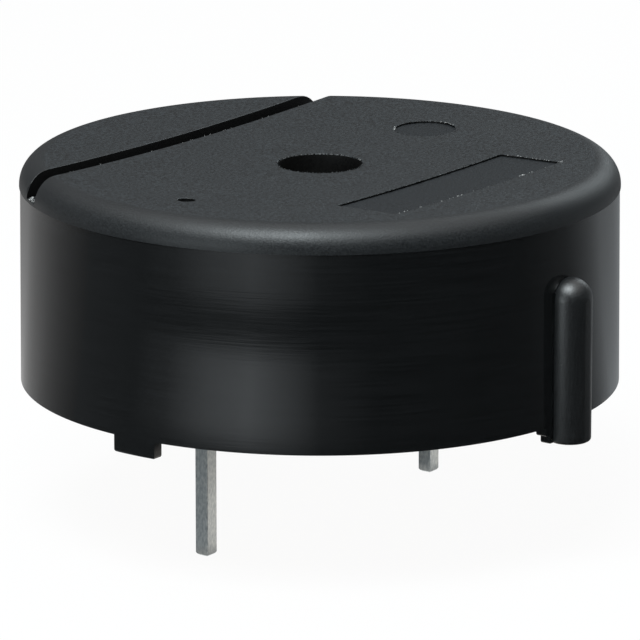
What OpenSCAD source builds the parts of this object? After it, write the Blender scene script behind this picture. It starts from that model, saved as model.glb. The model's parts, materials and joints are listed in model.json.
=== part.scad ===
// Round piezo buzzer with its own drive circuit, for a printed circuit board.
// The origin is the middle of the seating plane, on the undersides of the feet. The two pins
// stand on the X axis and go down through that plane. All sizes are millimetres.

/* [Case] */
// Diameter of the wall at the parting line
case_d = 24; // [22:0.5:36]
// Height of the body, from its rim to the edge of its top face
case_h = 9; // [8:0.25:14]
// How much the radius of the wall grows from the parting line down to the rim
wall_draft = 0.06; // [0:0.01:0.3]
// How far the cap stands out over the wall at the parting line
cap_step = 0.04; // [0:0.01:0.3]
// Straight band of the cap, under its rounded edge
cap_band = 0.05; // [0.05:0.05:0.6]
// Radius of the rounded edge of the cap
cap_round = 1; // [0.4:0.1:1.6]
// Depth of the hollow of the top face, at its middle
dish_depth = 0.28; // [0.05:0.01:0.6]
// Wall beside the circuit board
rim_wall = 1; // [0.7:0.05:1.2]
// Wall beside the diaphragm
chamber_wall = 1.5; // [1.4:0.05:2.2]
// Solid left between the slot and the front chamber
slot_floor = 0.85; // [0.5:0.05:2]

/* [Top face] */
// Diameter of the sound hole
sound_hole_d = 3.4; // [1:0.1:6]
// Diameter of the small vent hole
vent_d = 0.7; // [0.4:0.05:1.5]
// Distance of the vent hole from the outer wall
vent_inset = 3.35; // [3.2:0.05:5]
// Width of the slot across the top
slot_w = 0.9; // [0.4:0.05:2]
// Depth of the slot, from the edge of the top face
slot_depth = 0.95; // [0.3:0.05:1.5]
// Distance of the slot's middle line from the axis
slot_y = 6.87; // [4:0.01:9]
// Length of the bare nameplate recess
panel_l = 11; // [5:0.5:14]
// Width of the bare nameplate recess
panel_w = 2.9; // [1:0.1:4]
// Distance of the recess's middle from the axis, across the pins
panel_y = 6.6; // [4:0.1:8]
// Shift of the recess's middle along the pins, towards the negative pin
panel_shift = 0.25; // [0:0.05:1]
// Diameter of the round recess that marks the positive pin
mark_d = 2.5; // [1:0.1:4]
// Distance of the round recess from the axis
mark_x = 7.15; // [4:0.05:9]
// Depth of both recesses under the hollow top face
recess_depth = 0.08; // [0.03:0.01:0.3]

/* [Rib and feet] */
// Height of the feet under the rim
foot_h = 0.7; // [0.4:0.05:2]
// Thickness of the feet, from the outer wall inwards
foot_t = 0.45; // [0.3:0.05:0.9]
// Radius of the lower corners of the feet
foot_round = 0.12; // [0.02:0.02:0.3]
// Width of the two feet beside the pins
pin_foot_w = 2; // [1:0.05:5]
// Width of the two feet across the pins
rib_foot_w = 2; // [1:0.05:6]
// How far the shallow step reaches past each end of those feet
foot_step_w = 0.27; // [0.1:0.01:1]
// Height of that step under the rim
foot_step_h = 0.35; // [0.25:0.05:0.7]
// Diameter of the upright rib on the wall
rib_d = 1.72; // [0.6:0.02:3]
// How far the rib's axis lies outside the wall
rib_out = 0.24; // [0:0.01:0.6]
// Height of the middle of the rib's dome over the seating plane
rib_h = 5.73; // [2:0.01:8]
// Radius of the rib's lower edge
rib_round = 0.15; // [0.02:0.01:0.3]

/* [Diaphragm] */
// Thickness of the brass plate
plate_t = 0.2; // [0.1:0.05:0.5]
// Gap between the plate's edge and the chamber wall, filled by adhesive
plate_gap = 0.5; // [0.1:0.05:0.6]
// How far the plate's edge lies over the seat of the case
plate_seat = 0.5; // [0.2:0.05:0.8]
// Height of the front chamber, between the plate and the top
front_h = 1.7; // [1:0.1:3]
// Bare margin of the plate round the ceramic disc
ceramic_margin = 3; // [2:0.1:5]
// Thickness of the ceramic disc
ceramic_t = 0.2; // [0.1:0.05:0.5]
// Bare margin of the ceramic round the electrodes
electrode_margin = 0.4; // [0.1:0.05:1]
// Thickness of the silver electrodes
electrode_t = 0.03; // [0.02:0.01:0.1]
// Width of the feedback electrode's tongue
tongue_w = 2.6; // [1.6:0.1:4]
// Length of the tongue, from the edge of the electrode
tongue_l = 4; // [3:0.1:5]
// Bare line between the two electrodes
electrode_gap = 0.4; // [0.1:0.05:0.8]
// How far the adhesive ring reaches under the plate
glue_lap = 0.35; // [0.1:0.05:0.6]
// Height of the adhesive ring under the plate
glue_h = 0.5; // [0.2:0.05:1]

/* [Circuit board] */
// Thickness of the board
board_t = 1; // [0.6:0.1:1.6]
// Depth of the board's underside inside the rim
board_inset = 1.1; // [0.9:0.05:2]
// Gap between the board's edge and the wall, filled by sealant
board_gap = 0.15; // [0.05:0.05:0.3]
// Size of the sealant bead under the board
bead = 0.7; // [0.3:0.05:0.8]
// Thickness of the copper
copper_t = 0.05; // [0.02:0.01:0.1]
// Width of the copper tracks
track_w = 0.5; // [0.2:0.05:0.8]
// Diameter of the round pads under the leads
lead_pad_d = 1.5; // [1.2:0.1:2]

/* [Pins] */
// Distance of each pin's middle from the outer wall
pin_inset = 4.5; // [3.5:0.1:6]
// Side of the square pin
pin_w = 0.6; // [0.4:0.05:0.8]
// Length of the pins under the seating plane
pin_reach = 5.1; // [2:0.1:8]
// Length of the pins over the board, inside the case
pin_head = 0.6; // [0.2:0.1:1.2]
// Bevel of the pin's end
pin_bevel = 0.08; // [0.02:0.02:0.2]
// Room between the pin's corners and its hole
pin_hole_gap = 0.05; // [0.02:0.01:0.15]
// Diameter of the copper land and of the solder's base
land_d = 2.2; // [1.6:0.1:3]
// Diameter of the solder's upper end, on the pin
solder_neck_d = 1; // [0.8:0.05:1.2]
// Height of the solder on the pin
solder_h = 0.8; // [0.4:0.05:1]

/* [Parts on the board] */
// Distance of the load resistor's middle from its pin, along the line of the pins
load_inset = 1.5; // [1:0.1:2.5]
// Distance of the bias resistor's middle from its pin
bias_inset = 2.5; // [2.4:0.1:3.5]
// Distance of the feedback resistor's middle from the axis, along the line of the pins
feedback_x = 2.2; // [1.8:0.1:3]
// Distance of the feedback resistor's middle from the line of the pins
feedback_y = 2.2; // [2:0.1:3]
// Distance of the transistor's middle from the line of the pins
transistor_y = 3.4; // [2.4:0.1:5]
// Length of a chip resistor
chip_l = 2; // [1.6:0.1:2.4]
// Width of a chip resistor
chip_w = 1.25; // [0.8:0.05:1.4]
// Height of a chip resistor
chip_h = 0.5; // [0.3:0.05:0.8]
// Length of the metal cap on each end of a chip resistor
chip_cap_l = 0.35; // [0.2:0.05:0.5]
// Length of the transistor's body
transistor_l = 2.9; // [2.6:0.1:3.2]
// Width of the transistor's body
transistor_w = 1.3; // [1:0.05:1.5]
// Height of the transistor's body
transistor_h = 0.95; // [0.7:0.05:1.1]
// Air under the transistor's body
transistor_lift = 0.1; // [0.05:0.05:0.2]
// How much each side of the transistor's body leans in
transistor_lean = 0.12; // [0.05:0.01:0.2]
// Width of a transistor leg
leg_w = 0.4; // [0.3:0.05:0.5]
// Thickness of a transistor leg
leg_t = 0.14; // [0.1:0.01:0.2]
// How far a transistor leg reaches out from the body
leg_reach = 0.55; // [0.45:0.05:0.8]
// Distance between the two legs on one side
leg_pitch = 1.9; // [1.6:0.05:2.1]
// Diameter of the lead wires between board and diaphragm
lead_d = 0.25; // [0.15:0.05:0.4]
// Radius of a lead wire's bends
lead_bend = 0.5; // [0.3:0.05:0.8]
// Straight run of a lead wire between its solder joint and its bend
lead_run = 0.7; // [0.5:0.05:1]
// Distance of the drive lead's joint from the edge of the main electrode
drive_lead_inset = 1.6; // [1:0.1:3]
// Room between a lead wire and the surface that it is soldered to
lead_lift = 0.03; // [0.01:0.01:0.1]
// Diameter of the solder dots on the lead wires
dot_d = 1.1; // [0.8:0.05:1.2]
// Height of the solder dots
dot_h = 0.45; // [0.4:0.05:0.6]

/* [Hidden] */
$fn = 96;

// Heights over the seating plane, from the feet up
rim_z = foot_h;
top_z = rim_z + case_h;
parting_z = top_z - cap_round - cap_band;
board_z = rim_z + board_inset;
board_top = board_z + board_t;
copper_z = board_top + copper_t;
ceiling_z = top_z - slot_depth - slot_floor;
plate_top = ceiling_z - front_h;
plate_z = plate_top - plate_t;
ceramic_z = plate_z - ceramic_t;
electrode_z = ceramic_z - electrode_t;

// Radii of the case, from the outside in
wall_r = case_d / 2;
rim_r = wall_r + wall_draft;
cap_r = wall_r + cap_step;
flat_r = cap_r - cap_round;
pocket_r = wall_r - rim_wall;
chamber_r = wall_r - chamber_wall;
plate_r = chamber_r - plate_gap;
seat_r = plate_r - plate_seat;
board_r = pocket_r - board_gap;

// The hollow top face is part of a large sphere through the edge of the flat
dish_r = (flat_r * flat_r + dish_depth * dish_depth) / (2 * dish_depth);
dish_steps = 2880;

// Overshoot of a cutting tool past the face that it cuts
cut = 1;

// The pins stand on both sides of the axis, in square holes with room for their corners
pin_x = wall_r - pin_inset;
pin_hole_r = pin_w * sqrt(0.5) + pin_hole_gap;

// Radii of the disc on the diaphragm
ceramic_r = plate_r - ceramic_margin;
electrode_r = ceramic_r - electrode_margin;

// Places of the parts on the board: [x, y, turn]
transistor_at = [0, transistor_y, 0];
load_at = [pin_x - load_inset, transistor_y, 90];
bias_at = [pin_x - bias_inset, 0, 0];
feedback_at = [feedback_x, -feedback_y, 90];
CHIPS = [load_at, bias_at, feedback_at];

// Directions of the electrode's tongue and of two lead wires, seen from the axis
tongue_turn = -90;
drive_lead_turn = 50;
plate_lead_turn = 120;

// Distances of the lead wires from the axis
drive_lead_r = electrode_r - drive_lead_inset;
feedback_lead_r = electrode_r - tongue_l / 2;
plate_lead_r = (ceramic_r + plate_r - glue_lap) / 2;

// Places of the lead wires: [x, y, direction of the run]
drive_lead_at = around(drive_lead_r, drive_lead_turn, 0);
feedback_lead_at = around(feedback_lead_r, tongue_turn, 180);
plate_lead_at = around(plate_lead_r, plate_lead_turn, plate_lead_turn + 90);

// Ends of the transistor's legs, as [x, y] from the middle of its body
leg_end = transistor_w / 2 + leg_reach;
COLLECTOR = [0, leg_end];
EMITTER = [-leg_pitch / 2, -leg_end];
BASE = [leg_pitch / 2, -leg_end];

// The place at a distance from the axis in one direction, with a turn of its own
function around(radius, direction, turn) = [radius * cos(direction), radius * sin(direction), turn];

// A place at x, y, turned about an upright axis
module at(place, z = 0) {
    translate([place[0], place[1], z]) rotate(place[2]) children();
}

// The cap's outline: a straight band, then a quarter round up to the flat
module cap_outline() {
    translate([0, parting_z]) square([cap_r, cap_band]);
    translate([0, parting_z]) square([flat_r, cap_band + cap_round]);
    intersection() {
        translate([flat_r, parting_z + cap_band]) circle(r = cap_round);
        translate([0, parting_z]) square([cap_r, cap_band + cap_round]);
    }
}

// The body before it is hollowed: the feet's ring and a drafted wall, under a rounded cap
module outer_body() {
    rotate_extrude() union() {
        polygon([[0, 0], [rim_r, 0], [rim_r, rim_z], [wall_r, parting_z], [0, parting_z]]);
        cap_outline();
    }
}

// Everything over the hollow top face, or over a face sunk below it by a recess
module above_dish(sunk = 0) {
    rotate_extrude() intersection() {
        translate([0, top_z - dish_depth - sunk + dish_r]) circle(r = dish_r, $fn = dish_steps);
        translate([0, top_z - cap_round]) square([case_d, cap_round + cut]);
    }
}

// The inside of the case, stepped in at the board's shoulder and at the plate's seat
module inner_space() {
    cylinder(r = pocket_r, h = board_top);
    cylinder(r = chamber_r, h = plate_top);
    cylinder(r = seat_r, h = ceiling_z);
}

// A foot's outline, hanging from the rim, with two round lower corners. It reaches up past the rim.
module foot_outline(width, height) {
    translate([-width / 2, foot_round - height]) square([width, height - foot_round + cut]);
    translate([foot_round - width / 2, -height]) square([width - 2 * foot_round, height]);
    for (side = [-1, 1]) {
        translate([side * (width / 2 - foot_round), foot_round - height]) circle(r = foot_round);
    }
}

// A foot's outline carried from the axis out past the wall
module foot(turn) {
    rotate(turn + 90) translate([0, 0, rim_z]) rotate([90, 0, 0]) linear_extrude(case_d) children();
}

// What is cut from the ring under the rim, inside the feet and between them
module foot_gaps() {
    translate([0, 0, -cut]) cylinder(r = rim_r - foot_t, h = rim_z + cut);
    difference() {
        translate([0, 0, -cut]) cylinder(r = case_d, h = rim_z + cut);
        for (turn = [0, 180]) {
            foot(turn) foot_outline(pin_foot_w, foot_h);
        }
        for (turn = [90, 270]) {
            foot(turn) union() {
                foot_outline(rib_foot_w, foot_h);
                foot_outline(rib_foot_w + 2 * foot_step_w, foot_step_h);
            }
        }
    }
}

// The upright locating rib, half sunk in the wall, with a domed top
module key_rib() {
    translate([0, -wall_r - rib_out, 0]) {
        rotate_extrude() union() {
            square([rib_d / 2 - rib_round, rib_h]);
            translate([0, rib_round]) square([rib_d / 2, rib_h - rib_round]);
            intersection() {
                translate([rib_d / 2 - rib_round, rib_round]) circle(r = rib_round);
                square([rib_d / 2, rib_h]);
            }
        }
        translate([0, 0, rib_h]) sphere(d = rib_d);
    }
}

// What is cut down into the top face
module top_cuts() {
    above_dish();
    cylinder(d = sound_hole_d, h = top_z + cut);
    translate([vent_inset - wall_r, 0, 0]) cylinder(d = vent_d, h = top_z + cut);
    translate([-case_d, slot_y - slot_w / 2, top_z - slot_depth])
        cube([2 * case_d, slot_w, slot_depth + cut]);
    intersection() {
        above_dish(recess_depth);
        union() {
            translate([mark_x, 0, 0]) cylinder(d = mark_d, h = top_z + cut);
            translate([-panel_shift - panel_l / 2, -panel_y - panel_w / 2, 0])
                cube([panel_l, panel_w, top_z + cut]);
        }
    }
}

module case() {
    color("#26292a") difference() {
        union() {
            difference() {
                outer_body();
                foot_gaps();
            }
            key_rib();
        }
        inner_space();
        top_cuts();
    }
}

module diaphragm_plate() {
    color("#c9a94f") translate([0, 0, plate_z]) cylinder(r = plate_r, h = plate_t);
}

module piezo_ceramic() {
    color("#d8d2bd") translate([0, 0, ceramic_z]) cylinder(r = ceramic_r, h = ceramic_t);
}

// A tongue with a round inner end, which starts past the electrode's edge
module tongue_outline(grow = 0) {
    rotate(tongue_turn) {
        translate([electrode_r - tongue_l + tongue_w / 2, 0]) {
            circle(d = tongue_w + 2 * grow);
            translate([0, -tongue_w / 2 - grow]) square([tongue_l, tongue_w + 2 * grow]);
        }
    }
}

module main_electrode() {
    color("#c4c6c8") translate([0, 0, electrode_z]) linear_extrude(electrode_t) difference() {
        circle(r = electrode_r);
        tongue_outline(electrode_gap);
    }
}

module feedback_electrode() {
    color("#c4c6c8") translate([0, 0, electrode_z]) linear_extrude(electrode_t) intersection() {
        circle(r = electrode_r);
        tongue_outline();
    }
}

// A ring of adhesive that fills the gap at the plate's edge and laps under the plate
module diaphragm_adhesive() {
    color("#dcdcd6") rotate_extrude() union() {
        translate([plate_r, plate_z]) square([plate_gap, plate_t]);
        difference() {
            translate([plate_r - glue_lap, plate_z - glue_h]) square([plate_gap + glue_lap, glue_h]);
            translate([plate_r - glue_lap, plate_z - glue_h]) circle(r = glue_lap * 0.8);
        }
    }
}

module circuit_board() {
    color("#b9a05c") translate([0, 0, board_z]) linear_extrude(board_t) difference() {
        circle(r = board_r);
        for (side = [-1, 1]) {
            translate([side * pin_x, 0]) circle(r = pin_hole_r);
        }
    }
}

// A straight track with round ends between two places on the board
module track(from, to) {
    run = to - from;
    translate(from) {
        circle(d = track_w);
        rotate(atan2(run[1], run[0])) translate([0, -track_w / 2]) square([norm(run), track_w]);
    }
    translate(to) circle(d = track_w);
}

// A pad under each end of a chip resistor
module chip_pads(place) {
    translate(spot(place)) rotate(place[2]) for (side = [-1, 1]) {
        translate([side * (chip_l - chip_cap_l) / 2, 0])
            square([chip_cap_l + track_w, chip_w], center = true);
    }
}

// The middle of a chip resistor's end cap: side -1 or 1 along its length
function chip_end(place, side) = [place[0], place[1]]
    + side * (chip_l - chip_cap_l) / 2 * [cos(place[2]), sin(place[2])];

function leg_pad(end) = [transistor_at[0], transistor_at[1]] + end;

function spot(place) = [place[0], place[1]];

module track_outlines() {
    for (place = CHIPS) {
        chip_pads(place);
    }
    for (end = [COLLECTOR, EMITTER, BASE]) {
        translate(leg_pad(end)) square([leg_w + track_w, leg_reach], center = true);
    }
    for (place = [drive_lead_at, feedback_lead_at, plate_lead_at]) {
        translate(spot(place)) circle(d = lead_pad_d);
    }
    for (side = [-1, 1]) {
        translate([side * pin_x, 0]) circle(d = land_d);
    }
    track([-pin_x, 0], leg_pad(EMITTER));
    track([-pin_x, 0], spot(plate_lead_at));
    track(leg_pad(COLLECTOR), spot(drive_lead_at));
    track(spot(drive_lead_at), chip_end(load_at, 1));
    track([pin_x, 0], chip_end(load_at, -1));
    track([pin_x, 0], chip_end(bias_at, 1));
    track(chip_end(bias_at, -1), leg_pad(BASE));
    track(chip_end(bias_at, -1), chip_end(feedback_at, 1));
    track(chip_end(feedback_at, -1), spot(feedback_lead_at));
}

module copper_tracks() {
    color("#b8733a") translate([0, 0, board_top]) linear_extrude(copper_t) difference() {
        track_outlines();
        for (side = [-1, 1]) {
            translate([side * pin_x, 0]) circle(r = pin_hole_r);
        }
    }
}

// The two copper rings under the board, where the pins are soldered
module pin_lands() {
    color("#b8733a") for (side = [-1, 1]) {
        translate([side * pin_x, 0, board_z - copper_t]) linear_extrude(copper_t) difference() {
            circle(d = land_d);
            circle(r = pin_hole_r);
        }
    }
}

// A square pin's outline seen from one side, bevelled at both ends
module pin_outline() {
    half = pin_w / 2;
    high = board_top + pin_head;
    polygon([[-half, pin_bevel - pin_reach], [pin_bevel - half, -pin_reach],
        [half - pin_bevel, -pin_reach], [half, pin_bevel - pin_reach],
        [half, high - pin_bevel], [half - pin_bevel, high],
        [pin_bevel - half, high], [-half, high - pin_bevel]]);
}

module pin(side) {
    color("#b4b4b0") translate([side * pin_x, 0, 0]) intersection() {
        rotate([90, 0, 0]) linear_extrude(pin_w, center = true) pin_outline();
        rotate([90, 0, 90]) linear_extrude(pin_w, center = true) pin_outline();
    }
}

module pin_positive() {
    pin(1);
}

module pin_negative() {
    pin(-1);
}

// The solder cones that hold the pins to the lands under the board
module pin_solder() {
    color("#c8c8c6") for (side = [-1, 1]) {
        translate([side * pin_x, 0, board_z - copper_t - solder_h]) difference() {
            cylinder(d1 = solder_neck_d, d2 = land_d, h = solder_h);
            translate([-pin_w / 2, -pin_w / 2, -cut]) cube([pin_w, pin_w, solder_h + 2 * cut]);
        }
    }
}

// A moulded block's outline seen from one side: widest along a band at leg height
module moulded_outline(width) {
    half = width / 2;
    band = (transistor_h - leg_t) / 2;
    polygon([[transistor_lean - half, 0], [half - transistor_lean, 0], [half, band],
        [half, band + leg_t], [half - transistor_lean, transistor_h],
        [transistor_lean - half, transistor_h], [-half, band + leg_t], [-half, band]]);
}

module transistor_body() {
    color("#1f1f21") at(transistor_at, copper_z + transistor_lift) intersection() {
        rotate([90, 0, 0]) linear_extrude(transistor_w, center = true) moulded_outline(transistor_l);
        rotate([90, 0, 90]) linear_extrude(transistor_l, center = true) moulded_outline(transistor_w);
    }
}

// A leg that leaves the body at mid height, turns down and turns out on its pad
module leg_outline() {
    high = transistor_lift + (transistor_h + leg_t) / 2;
    knee = leg_reach / 2;
    polygon([[0, high - leg_t], [knee - leg_t, high - leg_t], [knee - leg_t, 0], [leg_reach, 0],
        [leg_reach, leg_t], [knee, leg_t], [knee, high], [0, high]]);
}

module transistor_legs() {
    color("#b4b4b0") at(transistor_at, copper_z) for (end = [COLLECTOR, EMITTER, BASE]) {
        translate([end[0], 0, 0]) rotate(end[1] > 0 ? 90 : -90) translate([transistor_w / 2, 0, 0])
            rotate([90, 0, 0]) linear_extrude(leg_w, center = true) leg_outline();
    }
}

// The coated ceramic block of a chip resistor, between its end caps
module chip_body(place) {
    color("#2b2f3a") at(place, copper_z)
        translate([chip_cap_l - chip_l / 2, -chip_w / 2, 0]) cube([chip_l - 2 * chip_cap_l, chip_w, chip_h]);
}

module load_resistor() {
    chip_body(load_at);
}

module bias_resistor() {
    chip_body(bias_at);
}

module feedback_resistor() {
    chip_body(feedback_at);
}

module resistor_caps() {
    color("#c8c8c6") for (place = CHIPS) {
        at(place, copper_z) for (side = [-1, 1]) {
            translate([side * (chip_l - chip_cap_l) / 2, 0, chip_h / 2])
                cube([chip_cap_l, chip_w, chip_h], center = true);
        }
    }
}

// A wire that runs out from the board, turns up, and turns back under the disc at roof_z
module lead_wire(place, roof_z) {
    low = copper_z + lead_lift + lead_d / 2;
    rise = roof_z - lead_lift - lead_d / 2 - low;
    at(place, low) {
        for (z = [0, rise]) {
            translate([0, 0, z]) rotate([0, 90, 0]) cylinder(d = lead_d, h = lead_run);
        }
        translate([lead_run, 0, lead_bend]) rotate([90, 0, 0]) rotate(-90)
            rotate_extrude(angle = 90) translate([lead_bend, 0]) circle(d = lead_d);
        translate([lead_run + lead_bend, 0, lead_bend]) cylinder(d = lead_d, h = rise - 2 * lead_bend);
        translate([lead_run, 0, rise - lead_bend]) rotate([90, 0, 0])
            rotate_extrude(angle = 90) translate([lead_bend, 0]) circle(d = lead_d);
    }
}

module drive_wire() {
    lead_wire(drive_lead_at, electrode_z);
}

module plate_wire() {
    lead_wire(plate_lead_at, plate_z);
}

module feedback_wire() {
    lead_wire(feedback_lead_at, electrode_z);
}

module drive_lead() {
    color("#c23b2e") drive_wire();
}

module plate_lead() {
    color("#2a2a2c") plate_wire();
}

module feedback_lead() {
    color("#3a66b0") feedback_wire();
}

// A flat dome of solder that stands on the plane z = 0
module solder_dot() {
    ball_r = (dot_d * dot_d / 4 + dot_h * dot_h) / (2 * dot_h);
    intersection() {
        translate([0, 0, dot_h - ball_r]) sphere(r = ball_r);
        cylinder(r = ball_r, h = dot_h);
    }
}

module board_lead_solder() {
    color("#c8c8c6") difference() {
        for (place = [drive_lead_at, plate_lead_at, feedback_lead_at]) {
            at(place, copper_z) solder_dot();
        }
        drive_wire();
        plate_wire();
        feedback_wire();
    }
}

module disc_lead_solder() {
    color("#c8c8c6") difference() {
        union() {
            at(drive_lead_at, electrode_z) mirror([0, 0, 1]) solder_dot();
            at(feedback_lead_at, electrode_z) mirror([0, 0, 1]) solder_dot();
            at(plate_lead_at, plate_z) mirror([0, 0, 1]) solder_dot();
        }
        drive_wire();
        plate_wire();
        feedback_wire();
    }
}

// The bead that seals the board's edge, hollowed by a finger's sweep, and fills its gap
module board_sealant() {
    color("#55504a") rotate_extrude() union() {
        translate([board_r, board_z]) square([board_gap, board_t]);
        difference() {
            translate([pocket_r - bead, board_z - bead]) square(bead);
            translate([pocket_r - bead, board_z - bead]) circle(r = bead * 0.8);
        }
    }
}

case();
diaphragm_plate();
piezo_ceramic();
main_electrode();
feedback_electrode();
diaphragm_adhesive();
circuit_board();
copper_tracks();
pin_lands();
pin_positive();
pin_negative();
pin_solder();
transistor_body();
transistor_legs();
load_resistor();
bias_resistor();
feedback_resistor();
resistor_caps();
drive_lead();
plate_lead();
feedback_lead();
board_lead_solder();
disc_lead_solder();
board_sealant();
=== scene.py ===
# %% [markdown]
# # A round piezo buzzer for a circuit board
# The object is a black moulded drum, 24 mm across, with a sound hole in its hollow top face and
# two square tinned pins under it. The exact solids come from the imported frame. This notebook
# dresses them: it rebuilds the pieces that need soft edges, gives every piece its own finish, and
# sets up a small photo table. All lengths below are written in millimetres and turned into
# Blender's metres by one factor, so the numbers read like a drawing.

import json
import math
import random

import bmesh
import bpy
from mathutils import Matrix, Vector, noise

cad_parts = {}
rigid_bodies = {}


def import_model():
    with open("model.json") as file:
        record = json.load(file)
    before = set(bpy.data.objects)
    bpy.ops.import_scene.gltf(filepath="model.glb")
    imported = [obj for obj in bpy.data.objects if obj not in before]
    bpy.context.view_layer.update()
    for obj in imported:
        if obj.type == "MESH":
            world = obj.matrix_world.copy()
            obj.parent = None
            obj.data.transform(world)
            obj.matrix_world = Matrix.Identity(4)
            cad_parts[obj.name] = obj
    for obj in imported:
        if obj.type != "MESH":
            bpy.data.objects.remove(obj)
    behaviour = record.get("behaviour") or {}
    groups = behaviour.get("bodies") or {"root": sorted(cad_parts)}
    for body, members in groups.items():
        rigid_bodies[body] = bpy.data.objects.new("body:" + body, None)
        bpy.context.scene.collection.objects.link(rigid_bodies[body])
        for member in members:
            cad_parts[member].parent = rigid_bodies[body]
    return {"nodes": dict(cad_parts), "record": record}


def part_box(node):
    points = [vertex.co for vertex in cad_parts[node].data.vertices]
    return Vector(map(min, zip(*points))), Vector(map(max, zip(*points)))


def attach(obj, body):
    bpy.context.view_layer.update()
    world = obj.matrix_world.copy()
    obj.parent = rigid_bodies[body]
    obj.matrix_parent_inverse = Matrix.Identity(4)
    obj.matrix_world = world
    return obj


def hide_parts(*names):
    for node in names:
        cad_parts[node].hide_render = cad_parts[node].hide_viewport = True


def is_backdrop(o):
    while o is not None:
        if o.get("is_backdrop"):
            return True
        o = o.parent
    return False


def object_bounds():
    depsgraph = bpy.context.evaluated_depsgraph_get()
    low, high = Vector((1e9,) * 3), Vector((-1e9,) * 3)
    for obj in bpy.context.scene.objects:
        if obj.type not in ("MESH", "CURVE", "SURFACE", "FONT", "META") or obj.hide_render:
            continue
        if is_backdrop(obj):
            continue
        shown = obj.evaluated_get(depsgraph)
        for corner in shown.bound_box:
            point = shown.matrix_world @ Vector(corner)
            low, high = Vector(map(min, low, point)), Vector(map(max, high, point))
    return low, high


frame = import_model()
cad_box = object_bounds()
MM = 0.001

case_low, case_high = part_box("case")
print("case", [round(v / MM, 2) for v in (*case_low, *case_high)])

# %% [markdown]
# ## Camera first
# The picture looks at the buzzer's rim from 15 degrees above. A short lens from close by would
# show the same pieces, but it would swell the near side. So the camera stands 248 mm away with a
# long lens, as for a catalogue. Starting with it means that each later step can be judged in the
# view that counts.

# %% Camera
CAMERA_TURN = math.radians(-53.05)
CAMERA_RISE = math.radians(15.19)
CAMERA_PITCH = math.radians(14.69)
CAMERA_DISTANCE = 248.4 * MM
SENSOR_WIDTH = 36
LENS = 346.1
NEAREST = 10 * MM
rim_middle = Vector((0, 0, 0.7 * MM))


def direction(turn, rise):
    """The unit vector that leaves the buzzer at a turn from its -Y side and at a rise."""
    level = math.cos(rise)
    return Vector((math.sin(turn) * level, -math.cos(turn) * level, math.sin(rise)))


camera = bpy.data.objects.new("camera", bpy.data.cameras.new("camera"))
bpy.context.scene.collection.objects.link(camera)
camera.location = rim_middle + CAMERA_DISTANCE * direction(CAMERA_TURN, CAMERA_RISE)
camera.rotation_euler = (math.pi / 2 - CAMERA_PITCH, 0, CAMERA_TURN)
camera.data.sensor_width = SENSOR_WIDTH
camera.data.lens = LENS
camera.data.clip_start = NEAREST
bpy.context.scene.view_settings.view_transform = "Standard"
bpy.context.scene.camera = camera
print("camera at", [round(v / MM, 1) for v in camera.location], "mm")

# %% [markdown]
# ## Lamps
# Black plastic shows little colour of its own: most of what one sees on it is the reflection of
# lamps. Small bright lamps would leave hard spots, so these are soft squares. The main one hangs
# over the camera's left shoulder and draws the long highlight on the rounded edge. A small one
# close behind on the right makes the top face lighter on that side, and a weak low one on the
# left gives the upright rib its soft stripe.

# %% Lamps
COOL = (0.9, 0.99, 1.02)


def soft_lamp(name, turn, rise, distance, size, power):
    """A square lamp that faces the buzzer. The turn is measured from the camera's side."""
    lamp = bpy.data.objects.new(name, bpy.data.lights.new(name, "AREA"))
    bpy.context.scene.collection.objects.link(lamp)
    lamp.data.shape = "SQUARE"
    lamp.data.size = size * MM
    lamp.data.energy = power
    lamp.data.color = COOL
    towards = direction(CAMERA_TURN + math.radians(turn), math.radians(rise))
    lamp.location = distance * MM * towards
    lamp.rotation_euler = towards.to_track_quat("Z", "Y").to_euler()


soft_lamp("main_lamp", turn=-25, rise=64, distance=300, size=170, power=0.96)
soft_lamp("back_lamp", turn=148, rise=29, distance=150, size=68, power=0.028)
soft_lamp("low_lamp", turn=-43, rise=4, distance=300, size=60, power=0.14)

# %% [markdown]
# ## White surroundings
# The page round the part is plain white. More light would also make it white, but it would wash
# out the black part. So the world and the table are white only to the camera and to reflections,
# and a softer grey as a source of light. The Light Path node tells the two apart.

# %% World
WORLD_LIGHT = 0.3
WHITE = (1, 1, 1, 1)


def feed(links, value, socket):
    """Links a socket into another one, or sets the number itself."""
    if isinstance(value, bpy.types.NodeSocket):
        links.new(value, socket)
    else:
        socket.default_value = value


def math_step(nodes, links, operation, first, second, clamp=False):
    """The result of one step of arithmetic."""
    step = nodes.new("ShaderNodeMath")
    step.operation = operation
    step.use_clamp = clamp
    feed(links, first, step.inputs[0])
    feed(links, second, step.inputs[1])
    return step.outputs[0]


def mixed_shader(nodes, links, share, first, second):
    """A mix of two shader nodes, with the share of the second."""
    mix = nodes.new("ShaderNodeMixShader")
    feed(links, share, mix.inputs[0])
    links.new(first.outputs[0], mix.inputs[1])
    links.new(second.outputs[0], mix.inputs[2])
    return mix


def seen_directly(nodes, links):
    """A socket that is 1 for camera, glossy and transmission rays, and 0 for the rest."""
    path = nodes.new("ShaderNodeLightPath")
    total = path.outputs["Is Camera Ray"]
    for kind in ("Is Glossy Ray", "Is Transmission Ray"):
        total = math_step(nodes, links, "ADD", total, path.outputs[kind], clamp=True)
    return total


world = bpy.data.worlds.new("studio")
bpy.context.scene.world = world
world.use_nodes = True
world_nodes, world_links = world.node_tree.nodes, world.node_tree.links
world_nodes.clear()
soft = world_nodes.new("ShaderNodeBackground")
soft.inputs["Color"].default_value = (WORLD_LIGHT, WORLD_LIGHT, WORLD_LIGHT, 1)
page = world_nodes.new("ShaderNodeBackground")
page.inputs["Color"].default_value = WHITE
sky = mixed_shader(world_nodes, world_links, seen_directly(world_nodes, world_links), soft, page)
world_links.new(sky.outputs[0], world_nodes.new("ShaderNodeOutputWorld").inputs["Surface"])
print("world: white to look at,", WORLD_LIGHT, "as a light")

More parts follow.
